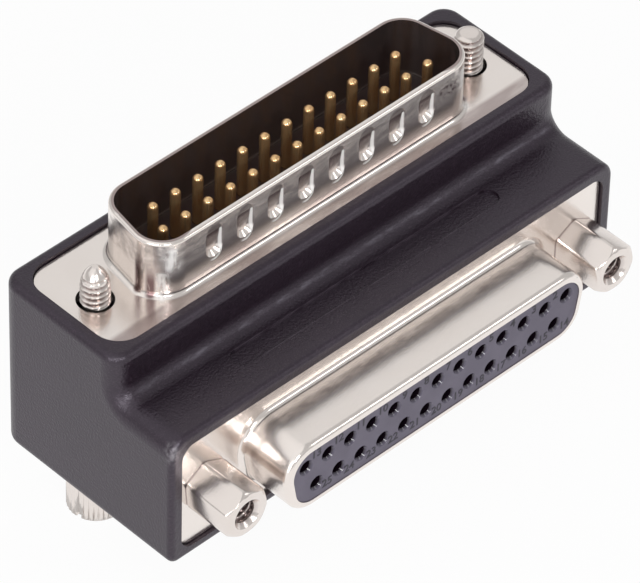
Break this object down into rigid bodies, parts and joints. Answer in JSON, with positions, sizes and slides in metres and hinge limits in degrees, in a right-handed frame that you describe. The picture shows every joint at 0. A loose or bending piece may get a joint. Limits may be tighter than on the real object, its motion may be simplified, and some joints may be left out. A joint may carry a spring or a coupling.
{
  "type": "right-angle d-sub adapter",
  "caption": "Black moulded adapter that turns a D-shaped pin connector through a right angle to a matching socket, with captive knurled screws and hex jackscrews.",
  "frame": {"origin": "centre of the plug flange's outer face, on the plug's axis", "axes": "+X along the contact rows, +Z the way the plug points, -Y the way the socket points"},
  "size_m": [0.0562, 0.0284, 0.0323],
  "materials": {
    "housing": "fine moulded grain",
    "plated_shell": "satin nickel plating",
    "plug_insulator": "smooth moulded",
    "socket_insulator": "smooth moulded",
    "gold_contact": "bright gold plating",
    "board": "glass fibre laminate with solder mask",
    "plated_screw": "turned and nickel plated",
    "insert_brass": "turned",
    "spring_ring": "plain spring steel"
  },
  "bodies": {
    "adapter_body": {"housing": "housing", "plug_front_shell": "plated_shell", "plug_rear_shell": "plated_shell", "plug_front_insulator": "plug_insulator", "plug_rear_insulator": "plug_insulator", "plug_pins_long_row": "gold_contact", "plug_pins_short_row": "gold_contact", "socket_front_shell": "plated_shell", "socket_rear_shell": "plated_shell", "socket_front_insulator": "socket_insulator", "socket_rear_insulator": "socket_insulator", "socket_contacts_long_row": "gold_contact", "socket_contacts_short_row": "gold_contact", "circuit_board": "board", "left_jackscrew": "plated_screw", "right_jackscrew": "plated_screw", "left_insert": "insert_brass", "right_insert": "insert_brass"},
    "left_ring": {"left_retaining_ring": "spring_ring"},
    "left_screw": {"left_thumbscrew": "plated_screw"},
    "right_ring": {"right_retaining_ring": "spring_ring"},
    "right_screw": {"right_thumbscrew": "plated_screw"}
  },
  "joints": [
    {"name": "left_screw_travel", "type": "slide", "parent": "adapter_body", "child": "left_ring", "axis": [0, 0, 1], "range_m": [0, 0.0012]},
    {"name": "left_screw_turn", "type": "hinge", "parent": "left_ring", "child": "left_screw", "pos_m": [-0.02352, 0, 0], "axis": [0, 0, 1], "continuous": true},
    {"name": "right_screw_travel", "type": "slide", "parent": "adapter_body", "child": "right_ring", "axis": [0, 0, 1], "range_m": [0, 0.0012]},
    {"name": "right_screw_turn", "type": "hinge", "parent": "right_ring", "child": "right_screw", "pos_m": [0.02352, 0, 0], "axis": [0, 0, 1], "continuous": true}
  ]
}
